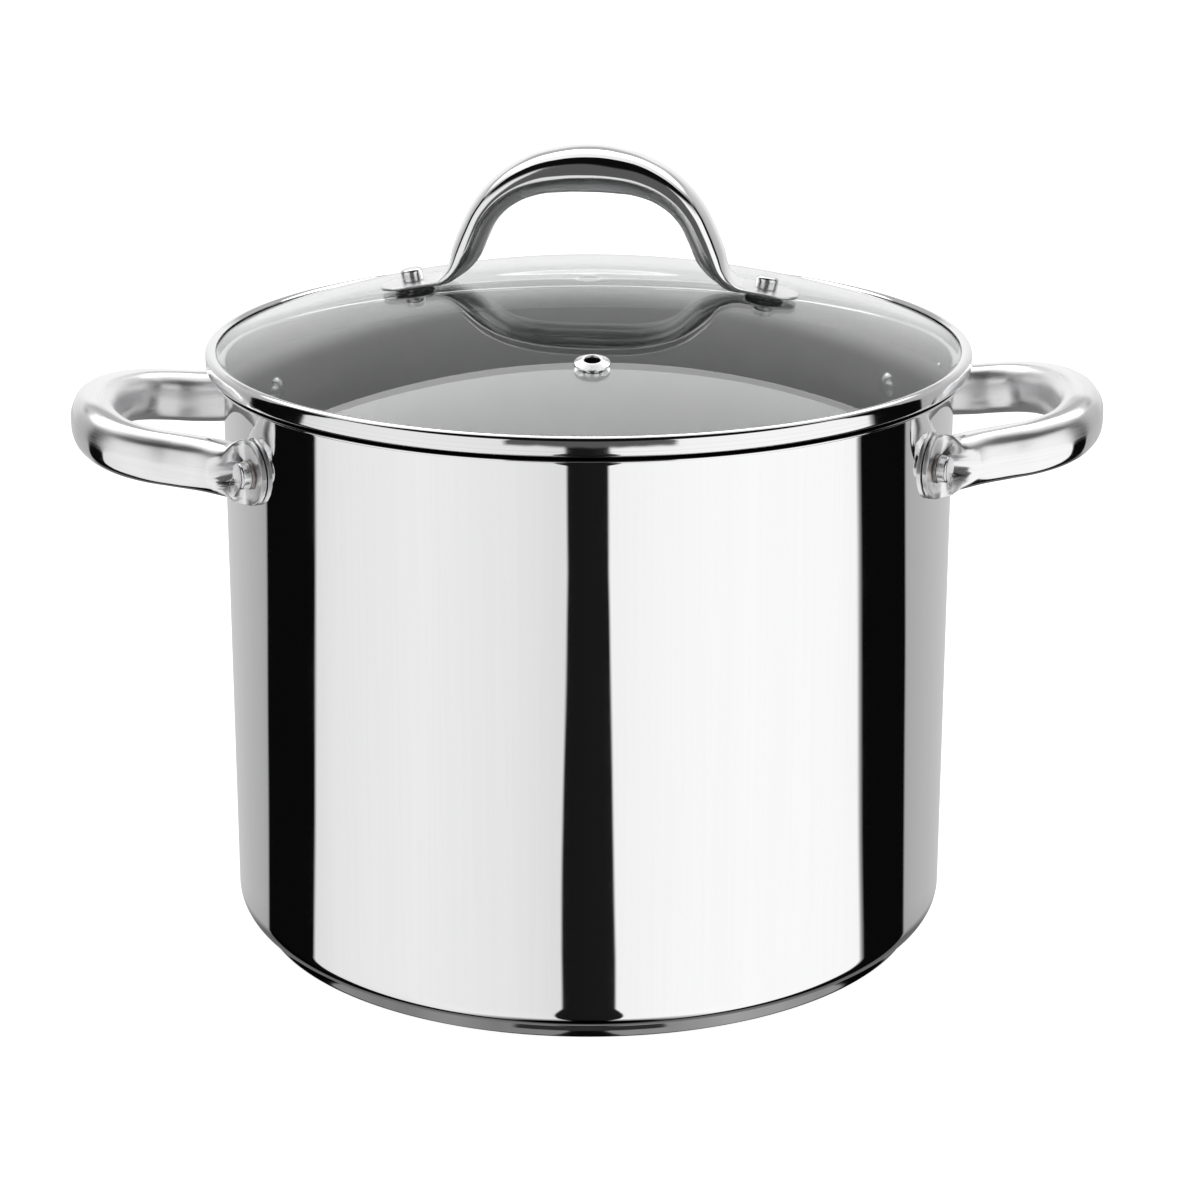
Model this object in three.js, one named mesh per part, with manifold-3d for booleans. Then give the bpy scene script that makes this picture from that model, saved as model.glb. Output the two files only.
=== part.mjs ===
// A 24 cm stock pot with a capsule base, two riveted hollow handles and a domed glass lid.
// Millimetres, +Z up, origin at the centre of the base's underside, side handles along X.
import * as THREE from 'three';
import { mergeVertices } from 'three/addons/utils/BufferGeometryUtils.js';
import Module from 'manifold-3d';

const wasm = await Module();
wasm.setup();

// ---------- driving dimensions ----------
const GAP = 0.3;                    // clearance between pieces that touch
const ROUND = 48;                   // facets round the pot and the lid
const SMALL_ROUND = 12;             // facets round rivets, washers and holes

const POT = {
  innerRadius: 120,                 // nominal 24 cm
  wall: 0.8,
  rimTop: 193.5,                    // top of the folded lip
  lipRadius: 124.5,
  lipThickness: 1.5,
  bottom: 4.2,                      // underside of the drawn shell, above the capsule base
  cornerRadius: 9,
};
POT.outerRadius = POT.innerRadius + POT.wall;

const BASE = { radius: 113.3, sheet: 0.5, top: 3.9, cornerRadius: 1.3, coreRadius: 111.6 };

const SIDE_HANDLE = {
  z: 170.3,                         // height of the feet's middle
  rise: 6,                          // how much higher the outer end of the loop is
  reach: 163.6,                     // centre line's furthest point from the pot's axis
  halfWide: 7.5,                    // tube section in plan
  halfTall: 8.6,                    // tube section upright
  footHalfThick: 1.3,
  footHalfTall: 10.6,
  sheet: 1.2,                       // wall of the hollow tube
  rivetAngle: 27.2,                 // degrees from the X axis to each foot's rivet
  weepHoleRadius: 1.2,
};

const POT_RIVET = { shank: 2.4, headRadius: 4.3, headHeight: 2.2, innerHeadRadius: 4.6, innerHeadHeight: 2.2 };
const POT_WASHER = { radius: 5.2, thickness: 0.9 };

const LID_TURN = -7.8;              // degrees the lid is turned on the pot from the side handles' line
const GLASS = { apex: 221.3, domeRadius: 346, thickness: 3.6, edgeRadius: 124.4, rivetHoleRadius: 4 };
const BAND = { radius: 126.3, sheet: 0.5, skirtRadius: 119.3, skirtBottom: 186, top: 200.1 };

const VENT = { reach: 81.5, angle: -83.4, holeRadius: 2.3, flangeRadius: 5.6, glassHoleRadius: 3.6 };

const LID_HANDLE = {
  rivetReach: 58,                   // rivet distance from the lid's axis
  footReach: 69,                    // end of each foot
  halfThick: 7.6,                   // at the top of the arch
  legHalfThick: 5,
  halfDeep: 10,
  footHalfThick: 0.6,
  footHalfDeep: 9,
  sheet: 1.0,
  arch: 257.2,                      // height of the arch's centre line
  weepHoleRadius: 1.2,
};
const LID_PAD = { radius: 6.6, thickness: 0.7, seat: 0.15 };   // seat is its gap to the glass
const LID_RIVET = { shank: 2.2, headRadius: 3.7, headHeight: 3.8 };
const UNDER_SEAL = { radius: 6.2, thickness: 0.8 };
const UNDER_WASHER = { radius: 6.6, thickness: 0.8 };

const degrees = THREE.MathUtils.degToRad;
const UP = new THREE.Vector3(0, 0, 1);

// ---------- materials ----------
function metal(name, color, roughness) {
  return new THREE.MeshStandardMaterial({ name, color, roughness, metalness: 1 });
}
const mirrorSteel = () => metal('mirror_steel', 0xd6d7d8, 0.06);
const satinSteel = () => metal('satin_steel', 0xb9bbbd, 0.3);
const aluminium = () => metal('aluminium', 0xc4c6c8, 0.45);
const silicone = () => new THREE.MeshStandardMaterial({ name: 'silicone', color: 0x1c1d1f, roughness: 0.6 });
const clearGlass = () => new THREE.MeshStandardMaterial({
  name: 'clear_glass', color: 0xdde6e4, roughness: 0.03, transparent: true, opacity: 0.35,
});

// ---------- solids ----------
// Shared vertices are merged and triangles that collapsed on an axis are dropped.
function welded(geometry) {
  const bare = geometry.clone();
  bare.deleteAttribute('normal');
  bare.deleteAttribute('uv');
  const merged = mergeVertices(bare, 1e-4);
  const corners = merged.index.array;
  const kept = [];
  for (let i = 0; i < corners.length; i += 3) {
    const [a, b, c] = [corners[i], corners[i + 1], corners[i + 2]];
    if (a !== b && b !== c && c !== a) {
      kept.push(a, b, c);
    }
  }
  merged.setIndex(kept);
  return merged;
}

function solid(geometry) {
  const closed = welded(geometry);
  return new wasm.Manifold(new wasm.Mesh({
    numProp: 3,
    vertProperties: new Float32Array(closed.attributes.position.array),
    triVerts: new Uint32Array(closed.index.array),
  }));
}

function geometryOf(manifold) {
  const mesh = manifold.getMesh();
  const geometry = new THREE.BufferGeometry();
  geometry.setAttribute('position', new THREE.BufferAttribute(mesh.vertProperties, mesh.numProp));
  geometry.setIndex(new THREE.BufferAttribute(mesh.triVerts, 1));
  return geometry;
}

function piece(name, geometry, material) {
  const closed = welded(geometry);
  closed.computeVertexNormals();
  const mesh = new THREE.Mesh(closed, material);
  mesh.name = name;
  return mesh;
}

// A profile of [radius, height] pairs is spun about Z. It runs counter-clockwise as drawn.
function turned(profile, facets) {
  const points = profile.map(([radius, height]) => new THREE.Vector2(radius, height));
  return new THREE.LatheGeometry(points, facets).rotateX(Math.PI / 2);
}

// Points on a quarter or other arc in a profile, from one angle to another in degrees.
function arc(centreRadius, centreHeight, radius, from, to, steps) {
  return Array.from({ length: steps + 1 }, (_, i) => {
    const angle = degrees(from + ((to - from) * i) / steps);
    return [centreRadius + radius * Math.cos(angle), centreHeight + radius * Math.sin(angle)];
  });
}

function closedLoop(profile) {
  return [...profile, profile[0]];
}

// A flat ring with square edges.
function ring(inner, outer, low, high) {
  return turned(closedLoop([[inner, low], [outer, low], [outer, high], [inner, high]]), SMALL_ROUND);
}

function roundBar(radius, low, high) {
  return turned([[0, low], [radius, low], [radius, high], [0, high]], SMALL_ROUND);
}

// A unit bar is bent along a path. sectionAt(distance) gives its half sizes at that distance
// from the nearer end, and steps are closer together near the ends.
function bentBar(path, sides, steps, across, sectionAt) {
  const length = path.getLength();
  const bar = new THREE.CylinderGeometry(1, 1, 1, sides, steps);
  const position = bar.attributes.position;
  const squareness = 2.4;
  const endCrowding = 0.08;
  for (let i = 0; i < position.count; i += 1) {
    const even = position.getY(i) + 0.5;
    const t = THREE.MathUtils.clamp(even - endCrowding * Math.sin(2 * Math.PI * even), 0, 1);
    const section = sectionAt(Math.min(t, 1 - t) * length);
    const centre = path.getPointAt(t);
    const side = new THREE.Vector3().crossVectors(path.getTangentAt(t), across).normalize();
    const x = Math.sign(position.getX(i)) * Math.abs(position.getX(i)) ** (2 / squareness);
    const z = Math.sign(position.getZ(i)) * Math.abs(position.getZ(i)) ** (2 / squareness);
    centre.addScaledVector(side, x * section.thick).addScaledVector(across, z * section.wide);
    position.setXYZ(i, centre.x, centre.y, centre.z);
  }
  return bar;
}

// Half sizes of a flattened foot that swells into the tube. The foot's end is half round.
function footedSection(foot, tubeAt, flatUntil, fullFrom) {
  return (distance) => {
    const tube = tubeAt(distance);
    const swell = THREE.MathUtils.smoothstep(distance, flatUntil, fullFrom);
    const fromRoundEnd = Math.min(distance / foot.wide, 1);
    const rounding = Math.sqrt(Math.max(1 - (1 - fromRoundEnd) ** 2, 0.06));
    return {
      thick: THREE.MathUtils.lerp(foot.thick, tube.thick, swell),
      wide: THREE.MathUtils.lerp(foot.wide * rounding, tube.wide, swell),
    };
  };
}

// The part of a path between two distances from its ends, for the hollow inside a tube.
function innerStretch(path, trim) {
  const length = path.getLength();
  const samples = 24;
  const points = Array.from({ length: samples + 1 }, (_, i) => {
    const t = THREE.MathUtils.lerp(trim / length, 1 - trim / length, i / samples);
    return path.getPointAt(t);
  });
  return new THREE.CatmullRomCurve3(points);
}

// ---------- pot ----------
// Deep-drawn cup with a radiused corner and a folded, level lip.
function potShell() {
  const { innerRadius, outerRadius, wall, rimTop, lipRadius, lipThickness, bottom, cornerRadius } = POT;
  const cornerCentre = outerRadius - cornerRadius;
  const lipMiddle = rimTop - lipThickness / 2;
  const profile = [
    [0, bottom],
    ...arc(cornerCentre, bottom + cornerRadius, cornerRadius, -90, 0, 5),
    [outerRadius, rimTop - lipThickness - 1.4],
    [outerRadius + 1.2, rimTop - lipThickness],
    ...arc(lipRadius - lipThickness / 2, lipMiddle, lipThickness / 2, -90, 90, 4),
    [innerRadius + 1.0, rimTop],
    [innerRadius, rimTop - 1.0],
    ...arc(cornerCentre, bottom + cornerRadius, cornerRadius - wall, 0, -90, 5),
    [0, bottom + wall],
  ];
  let shell = solid(turned(profile, ROUND));
  for (const angle of rivetAngles()) {
    shell = shell.subtract(solid(radialHole(POT_RIVET.shank + GAP, angle)));
  }
  return piece('pot_shell', geometryOf(shell), mirrorSteel());
}

function rivetAngles() {
  const a = SIDE_HANDLE.rivetAngle;
  return [a, -a, 180 - a, 180 + a];
}

// A piece made upright about Z at the origin is laid along a radius at a rivet's place.
function laidRadially(geometry, angle) {
  return geometry
    .rotateY(Math.PI / 2)
    .rotateZ(degrees(angle))
    .translate(0, 0, SIDE_HANDLE.z);
}

function radialHole(radius, angle) {
  return laidRadially(roundBar(radius, POT.innerRadius - 8, POT.outerRadius + 12), angle);
}

// Aluminium disc that spreads the heat, closed in under the shell.
function baseCore() {
  const low = BASE.sheet + GAP;
  const chamfer = 2;
  const profile = [
    [0, low],
    [BASE.coreRadius - chamfer, low],
    [BASE.coreRadius, low + chamfer],
    [BASE.coreRadius, POT.bottom - GAP],
    [0, POT.bottom - GAP],
  ];
  return piece('base_core', turned(profile, ROUND), aluminium());
}

// Thin steel dish pressed over the disc. Its flat underside is what the pot stands on.
function baseCap() {
  const { radius, sheet, top, cornerRadius } = BASE;
  const centre = radius - cornerRadius;
  const profile = [
    [0, 0],
    ...arc(centre, cornerRadius, cornerRadius, -90, 0, 3),
    [radius - 0.2, top],
    [radius - 0.2 - sheet, top],
    ...arc(centre, cornerRadius, cornerRadius - sheet, 0, -90, 3),
    [0, sheet],
  ];
  return piece('base_cap', turned(profile, ROUND), satinSteel());
}

// Centre line of one side handle in the pot's frame, for the handle on the +X side.
function sideHandlePath() {
  const footRadius = POT.outerRadius + GAP + SIDE_HANDLE.footHalfThick;
  const footPoint = (angle) => [footRadius * Math.cos(degrees(angle)), footRadius * Math.sin(degrees(angle))];
  const half = [
    footPoint(31.3),
    footPoint(29),
    footPoint(26.8),
    [116.2, 49.6],
    [124, 44.6],
    [133, 41.6],
    [143, 39.2],
    [152, 34],
    [158.7, 24.6],
    [162.6, 13],
  ];
  const outline = [...half.map(([x, y]) => [x, -y]), [SIDE_HANDLE.reach, 0], ...half.reverse()];
  const levelUntil = 110;
  return new THREE.CatmullRomCurve3(outline.map(([x, y]) => {
    const along = Math.max(x - levelUntil, 0) / (SIDE_HANDLE.reach - levelUntil);
    return new THREE.Vector3(x, y, SIDE_HANDLE.z + SIDE_HANDLE.rise * along ** 2);
  }), false, 'centripetal');
}

// Loop of pressed tube whose flattened ends follow the wall and take one rivet each.
function sideHandle(name, turn) {
  const { halfWide, halfTall, footHalfThick, footHalfTall, sheet } = SIDE_HANDLE;
  const path = sideHandlePath();
  const foot = { thick: footHalfThick, wide: footHalfTall };
  const section = footedSection(foot, () => ({ thick: halfWide, wide: halfTall }), 11, 22);
  const hollowTrim = 24;
  const hollow = () => ({ thick: halfWide - sheet, wide: halfTall - sheet });
  let handle = solid(bentBar(path, 12, 38, UP, section));
  handle = handle.subtract(solid(bentBar(innerStretch(path, hollowTrim), 8, 18, UP, hollow)));
  const wallFace = POT.outerRadius + GAP;
  const wallCut = turned([[0, 140], [wallFace, 140], [wallFace, 190], [0, 190]], ROUND);
  handle = handle.subtract(solid(wallCut));
  const tip = path.getPointAt(0.5);
  const weepHole = roundBar(SIDE_HANDLE.weepHoleRadius, -halfWide - 3, 0).rotateY(Math.PI / 2);
  handle = handle.subtract(solid(weepHole.translate(tip.x, tip.y, tip.z)));
  for (const side of [1, -1]) {
    const angle = side * SIDE_HANDLE.rivetAngle;
    const headRecess = roundBar(POT_WASHER.radius + GAP, footFace(), footFace() + 20);
    handle = handle.subtract(solid(radialHole(POT_RIVET.shank + GAP, angle)));
    handle = handle.subtract(solid(laidRadially(headRecess, angle)));
  }
  return piece(name, geometryOf(handle).rotateZ(degrees(turn)), mirrorSteel());
}

// Distance from the pot's axis to the outer face of a foot, where its washer sits.
function footFace() {
  return POT.outerRadius + GAP + 2 * SIDE_HANDLE.footHalfThick;
}

// Plain collar between a foot and its rivet's head.
function potWasher(name, angle) {
  const low = footFace() + GAP;
  const collar = ring(POT_RIVET.shank + GAP, POT_WASHER.radius, low, low + POT_WASHER.thickness);
  return piece(name, laidRadially(collar, angle), satinSteel());
}

// Solid rivet: low dome inside the pot, shank, and a tall rounded head outside.
function potRivet(name, angle) {
  const { shank, headRadius, headHeight, innerHeadRadius, innerHeadHeight } = POT_RIVET;
  const headLow = footFace() + GAP + POT_WASHER.thickness + GAP;
  const headTop = headLow + headHeight;
  const innerFace = POT.innerRadius - 2 * GAP;
  const edge = 1.2;
  const profile = [
    [0, innerFace - innerHeadHeight],
    [innerHeadRadius * 0.55, innerFace - innerHeadHeight * 0.85],
    [innerHeadRadius, innerFace - 0.5],
    [innerHeadRadius, innerFace],
    [shank, innerFace],
    [shank, headLow],
    [headRadius, headLow],
    ...arc(headRadius - edge, headTop - edge, edge, 0, 90, 2),
    [0, headTop],
  ];
  return piece(name, laidRadially(turned(profile, SMALL_ROUND), angle), satinSteel());
}

// ---------- lid ----------
// Height of the dome's upper face at a distance from the lid's axis.
function domeTop(reach) {
  return GLASS.apex - GLASS.domeRadius + Math.sqrt(GLASS.domeRadius ** 2 - reach ** 2);
}

// Slope of the dome there, as an angle below level.
function domeSlope(reach) {
  return Math.asin(reach / GLASS.domeRadius);
}

// A piece made upright on Z at the origin is set on the dome, square to the glass.
function setOnDome(geometry, reach, angle) {
  return geometry
    .rotateY(domeSlope(reach))
    .translate(reach, 0, domeTop(reach))
    .rotateZ(degrees(angle));
}

// Tempered dome with two rivet holes and a vent hole.
function lidGlass() {
  const bands = 7;
  const upper = Array.from({ length: bands + 1 }, (_, i) => {
    const reach = (GLASS.edgeRadius * i) / bands;
    return [reach, domeTop(reach)];
  });
  const lower = upper.map(([reach, height]) => [reach, height - GLASS.thickness]);
  const profile = [...lower, ...upper.reverse()];
  let dome = solid(turned(profile, ROUND));
  const holes = [
    [LID_HANDLE.rivetReach, 0, GLASS.rivetHoleRadius],
    [LID_HANDLE.rivetReach, 180, GLASS.rivetHoleRadius],
    [VENT.reach, VENT.angle, VENT.glassHoleRadius],
  ];
  for (const [reach, angle, radius] of holes) {
    dome = dome.subtract(solid(setOnDome(roundBar(radius, -10, 10), reach, angle)));
  }
  return piece('lid_glass', geometryOf(dome), clearGlass());
}

// Steel band folded over the glass's edge. Its shelf rests on the pot's lip and its skirt hangs inside.
function lidRimBand() {
  const { radius, sheet, skirtRadius, skirtBottom, top } = BAND;
  const shelf = POT.rimTop + GAP;
  const bead = 1.9;
  const beadCentre = [radius - bead, top - bead];
  const lowCorner = 1.4;
  const cornerCentre = [radius - lowCorner, shelf + lowCorner];
  const lipEdge = radius - 3.4;
  const lipTop = top - 0.6;
  const profile = [
    [lipEdge, lipTop - sheet],
    ...arc(...beadCentre, bead - sheet, 90, 0, 3),
    ...arc(...cornerCentre, lowCorner - sheet, 0, -90, 2),
    [skirtRadius - sheet + 0.8, shelf + sheet],
    [skirtRadius - sheet, shelf - 0.6],
    [skirtRadius - sheet - 0.3, skirtBottom],
    [skirtRadius - 0.3, skirtBottom],
    [skirtRadius, shelf - 0.9],
    [skirtRadius + 0.9, shelf],
    ...arc(...cornerCentre, lowCorner, -90, 0, 2),
    ...arc(...beadCentre, bead, 0, 90, 3),
    [lipEdge, lipTop],
  ];
  return piece('lid_rim_band', turned(closedLoop(profile), ROUND), mirrorSteel());
}

// Steel eyelet that lines the vent hole, with a raised round flange on top.
function ventEyelet() {
  const { holeRadius, flangeRadius } = VENT;
  const tube = holeRadius + 0.7;
  const flangeLow = 0.2;
  const profile = closedLoop([
    [holeRadius, -GLASS.thickness - 1.6],
    [tube, -GLASS.thickness - 1.6],
    [tube, flangeLow],
    [flangeRadius, flangeLow],
    [flangeRadius, flangeLow + 0.7],
    [holeRadius + 1.9, 2.0],
    [holeRadius + 1.0, 2.0],
    [holeRadius, 1.2],
  ]);
  return piece('vent_eyelet', setOnDome(turned(profile, SMALL_ROUND), VENT.reach, VENT.angle), mirrorSteel());
}

// Ring that holds the eyelet from below the glass.
function ventWasher() {
  const high = -GLASS.thickness - 0.4;
  const collar = ring(VENT.holeRadius + 0.7 + GAP, VENT.flangeRadius, high - 0.8, high);
  return piece('vent_washer', setOnDome(collar, VENT.reach, VENT.angle), satinSteel());
}

// Height of a foot's middle plane above the glass.
function footLift() {
  return LID_PAD.seat + LID_PAD.thickness + GAP + LID_HANDLE.footHalfThick;
}

// Centre line of the lid's handle: a foot lying along the glass, a leg, and the arch.
function lidHandlePath() {
  const footPoint = (reach) => [reach, domeTop(reach) + footLift()];
  const half = [
    footPoint(LID_HANDLE.footReach),
    footPoint(64),
    footPoint(LID_HANDLE.rivetReach),
    footPoint(53),
    [47.6, 220.2],
    [43.4, 224],
    [40.2, 229.4],
    [37.4, 236],
    [33.6, 243.2],
    [27, 250],
    [18, 254.7],
    [9, 256.6],
  ];
  const outline = [...half.map(([x, z]) => [-x, z]), [0, LID_HANDLE.arch], ...half.reverse()];
  return new THREE.CatmullRomCurve3(outline.map(([x, z]) => new THREE.Vector3(x, 0, z)), false, 'centripetal');
}

// Arched hollow handle with thin flattened feet, one rivet through each.
function lidHandle() {
  const { halfThick, legHalfThick, halfDeep, footHalfThick, footHalfDeep, sheet, rivetReach, arch } = LID_HANDLE;
  const path = lidHandlePath();
  const across = new THREE.Vector3(0, 1, 0);
  const foot = { thick: footHalfThick, wide: footHalfDeep };
  const tubeAt = (distance) => {
    const fullness = THREE.MathUtils.smoothstep(distance, 46, 88);
    return { thick: THREE.MathUtils.lerp(legHalfThick, halfThick, fullness), wide: halfDeep };
  };
  const section = footedSection(foot, tubeAt, 17, 36);
  const hollowTrim = 37;
  const hollow = (distance) => {
    const tube = tubeAt(distance + hollowTrim);
    return { thick: tube.thick - sheet, wide: tube.wide - sheet };
  };
  let handle = solid(bentBar(path, 12, 38, across, section));
  handle = handle.subtract(solid(bentBar(innerStretch(path, hollowTrim), 8, 16, across, hollow)));
  const weepHole = roundBar(LID_HANDLE.weepHoleRadius, arch - halfThick - 3, arch);
  handle = handle.subtract(solid(weepHole));
  for (const angle of [0, 180]) {
    handle = handle.subtract(solid(setOnDome(roundBar(LID_RIVET.shank + GAP, -6, 12), rivetReach, angle)));
  }
  return piece('lid_handle', geometryOf(handle), mirrorSteel());
}

// The stack at each foot of the lid's handle, from the top down: rivet, pad, glass, seal, washer.
function footStack(side, angle) {
  const reach = LID_HANDLE.rivetReach;
  const tight = 0.1;
  const clear = LID_RIVET.shank + GAP;
  const headLow = footLift() + LID_HANDLE.footHalfThick + GAP;
  const headTop = headLow + LID_RIVET.headHeight;
  const sealTop = -GLASS.thickness - GAP;
  const sealLow = sealTop - UNDER_SEAL.thickness;
  const washerTop = sealLow - tight;
  const washerLow = washerTop - UNDER_WASHER.thickness;
  const tailTop = washerLow - tight;
  const edge = 1.0;
  const rivetProfile = [
    [0, tailTop - 1.8],
    [LID_RIVET.headRadius * 0.6, tailTop - 1.5],
    [LID_RIVET.headRadius, tailTop],
    [LID_RIVET.shank, tailTop],
    [LID_RIVET.shank, headLow],
    [LID_RIVET.headRadius, headLow],
    ...arc(LID_RIVET.headRadius - edge, headTop - edge, edge, 0, 90, 2),
    [0, headTop],
  ];
  const rows = [
    ['lid_rivet', turned(rivetProfile, SMALL_ROUND), satinSteel()],
    ['lid_pad', ring(clear, LID_PAD.radius, LID_PAD.seat, LID_PAD.seat + LID_PAD.thickness), silicone()],
    ['lid_under_seal', ring(clear, UNDER_SEAL.radius, sealLow, sealTop), silicone()],
    ['lid_under_washer', ring(clear, UNDER_WASHER.radius, washerLow, washerTop), satinSteel()],
  ];
  return rows.map(([name, geometry, material]) => (
    piece(`${name}_${side}`, setOnDome(geometry, reach, angle), material)));
}

// ---------- assembly ----------
const pot = new THREE.Group();
pot.add(potShell(), baseCore(), baseCap());
pot.add(sideHandle('side_handle_right', 0), sideHandle('side_handle_left', 180));
const footNames = ['right_back', 'right_front', 'left_back', 'left_front'];
rivetAngles().forEach((angle, i) => {
  pot.add(potRivet(`pot_rivet_${footNames[i]}`, angle));
  pot.add(potWasher(`pot_washer_${footNames[i]}`, angle));
});

const lid = new THREE.Group();
lid.add(lidGlass(), lidRimBand(), ventEyelet(), ventWasher(), lidHandle());
lid.add(...footStack('right', 0), ...footStack('left', 180));
lid.rotation.z = degrees(LID_TURN);

const stockPot = new THREE.Group();
stockPot.name = 'stock_pot';
stockPot.add(pot, lid);

export default stockPot;
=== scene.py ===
import math

import bmesh
import bpy
from mathutils import Matrix, Vector


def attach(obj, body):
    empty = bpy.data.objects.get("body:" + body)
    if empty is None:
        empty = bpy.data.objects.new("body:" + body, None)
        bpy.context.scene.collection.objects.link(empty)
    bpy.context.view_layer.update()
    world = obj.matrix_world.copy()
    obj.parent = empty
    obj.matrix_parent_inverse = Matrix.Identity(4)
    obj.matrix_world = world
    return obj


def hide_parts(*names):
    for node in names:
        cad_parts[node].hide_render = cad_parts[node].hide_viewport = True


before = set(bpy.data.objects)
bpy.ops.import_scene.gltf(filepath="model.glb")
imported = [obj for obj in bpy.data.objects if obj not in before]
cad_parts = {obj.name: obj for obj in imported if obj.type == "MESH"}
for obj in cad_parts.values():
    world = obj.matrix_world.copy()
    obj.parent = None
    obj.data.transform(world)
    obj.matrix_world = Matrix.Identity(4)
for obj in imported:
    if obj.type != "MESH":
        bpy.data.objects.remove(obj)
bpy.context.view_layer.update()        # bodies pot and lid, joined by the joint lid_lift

MM = 0.001


# ---------- pot shell ----------
# Deep-drawn stainless steel, 0.8 mm thick, rolled out at the rim into a thin drooping lip. Buffed
# to a mirror outside, up and down the wall, and left satin inside; the lip's top, where the lid's band
# closes over it, is painted near black as painted shade for the gap under the band. Sizes are in
# millimetres.
POT_INSIDE = 120
POT_OUTSIDE = 120.8
RIM_TOP = 193.5
LIP_RADIUS = 124.5
LIP_THICK = 0.9
LIP_DROP = 1.0
LIP_BEND = 1.6
SHELL_LOW = 4.2
SHELL_ROUND = 9
FLOOR_RING = 60
WALL_RINGS = (60, 120)
EASE = 0.6
WALL = POT_OUTSIDE - POT_INSIDE
NOISE_LOW = 0.3
NOISE_HIGH = 0.7


def arc(centre_radius, centre_height, radius, start, end, steps):
    """Points of a small arc in a lathe profile; angles in degrees, 0 outwards and 90 up."""
    turns = [math.radians(start + (end - start) * i / steps) for i in range(steps + 1)]
    return [(centre_radius + radius * math.cos(t), centre_height + radius * math.sin(t)) for t in turns]


def turn_on_lathe(name, profile, sides=256):
    """A ring drawn out from point to point of a profile of (radius, height) in millimetres."""
    bpy.ops.object.select_all(action="DESELECT")
    starts_closed = profile[0][0] == 0
    points = profile[1:] if starts_closed else profile
    bpy.ops.mesh.primitive_circle_add(
        vertices=sides,
        radius=points[0][0] * MM,
        fill_type="TRIFAN" if starts_closed else "NOTHING",
        location=(0, 0, points[0][1] * MM),
    )
    piece = bpy.context.object
    piece.name = name
    bpy.ops.object.mode_set(mode="EDIT")
    bpy.ops.mesh.select_mode(type="EDGE")
    bpy.ops.mesh.select_all(action="SELECT")
    if starts_closed:
        bpy.ops.mesh.region_to_loop()
    for (from_radius, from_height), (radius, height) in zip(points, points[1:]):
        rise = (0, 0, (height - from_height) * MM)
        bpy.ops.mesh.extrude_region_move(TRANSFORM_OT_translate={"value": rise})
        if radius == 0:
            bpy.ops.mesh.merge(type="CENTER")
        else:
            growth = radius / from_radius
            bpy.ops.transform.resize(value=(growth, growth, 1), center_override=(0, 0, height * MM))
    bpy.ops.mesh.select_all(action="SELECT")
    bpy.ops.mesh.remove_doubles(threshold=1e-6)
    bpy.ops.mesh.normals_make_consistent(inside=False)
    bpy.ops.object.mode_set(mode="OBJECT")
    bpy.ops.object.transform_apply(location=True, rotation=True, scale=True)
    bpy.ops.object.shade_smooth_by_angle(angle=math.radians(40))
    return piece


def surface_of(material):
    return material.node_tree.nodes["Principled BSDF"]


def new_finish(name, metallic=1.0):
    """A material with the standard surface shader."""
    material = bpy.data.materials.new(name)
    material.use_nodes = True
    surface_of(material).inputs["Metallic"].default_value = metallic
    return material


def add_node(material, kind, inputs=None, **settings):
    """A shader node; an input that is another node's output is linked, any other is set."""
    made = material.node_tree.nodes.new("ShaderNode" + kind)
    for setting, value in settings.items():
        setattr(made, setting, value)
    for socket, value in (inputs or {}).items():
        if isinstance(value, bpy.types.NodeSocket):
            material.node_tree.links.new(value, made.inputs[socket])
        else:
            made.inputs[socket].default_value = value
    return made


def object_place(material):
    return add_node(material, "TexCoord").outputs["Object"]


def stretched(material, place, scale):
    return add_node(material, "Mapping", {"Vector": place, "Scale": scale}).outputs["Vector"]


def noise(material, place, scale, detail):
    made = add_node(material, "TexNoise", {"Vector": place, "Scale": scale, "Detail": detail})
    return made.outputs["Fac"]


def maths(material, operation, first, second=0.0):
    """One step of arithmetic on two values, or on the first alone."""
    return add_node(material, "Math", {0: first, 1: second}, operation=operation).outputs[0]


def vector_value(material, operation, place, other=(0, 0, 0)):
    """The number that a vector step gives, such as a length or a dot product."""
    return add_node(material, "VectorMath", {0: place, 1: other}, operation=operation).outputs["Value"]


def between(material, value, start, end, low=0.0, high=1.0):
    """Goes from low to high as the value goes from start to end."""
    return add_node(material, "MapRange", {
        "Value": value, "From Min": start, "From Max": end, "To Min": low, "To Max": high,
    }).outputs["Result"]


def blend(material, share, first, second):
    return add_node(material, "Mix", {0: share, 2: first, 3: second}).outputs[0]


def spread(material, value, low, high):
    """A noise value laid out between two numbers."""
    return between(material, value, NOISE_LOW, NOISE_HIGH, low, high)


def shade_of(material, value, dark, light):
    """A noise value laid out between two colours."""
    ramp = add_node(material, "ValToRGB", {"Fac": value})
    ramp.color_ramp.elements[0].position = NOISE_LOW
    ramp.color_ramp.elements[0].color = (*dark, 1)
    ramp.color_ramp.elements[1].position = NOISE_HIGH
    ramp.color_ramp.elements[1].color = (*light, 1)
    return ramp.outputs["Color"]


def relief(material, height, strength, depth, over=None):
    """Bumps as deep as depth, in metres, laid over others when those are given."""
    inputs = {"Height": height, "Strength": strength, "Distance": depth}
    if over is not None:
        inputs["Normal"] = over
    return add_node(material, "Bump", inputs).outputs["Normal"]


def connect(material, **sockets):
    """Links outputs to the surface shader's sockets, named with underscores for spaces."""
    for socket, output in sockets.items():
        material.node_tree.links.new(output, surface_of(material).inputs[socket.replace("_", " ")])


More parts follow.
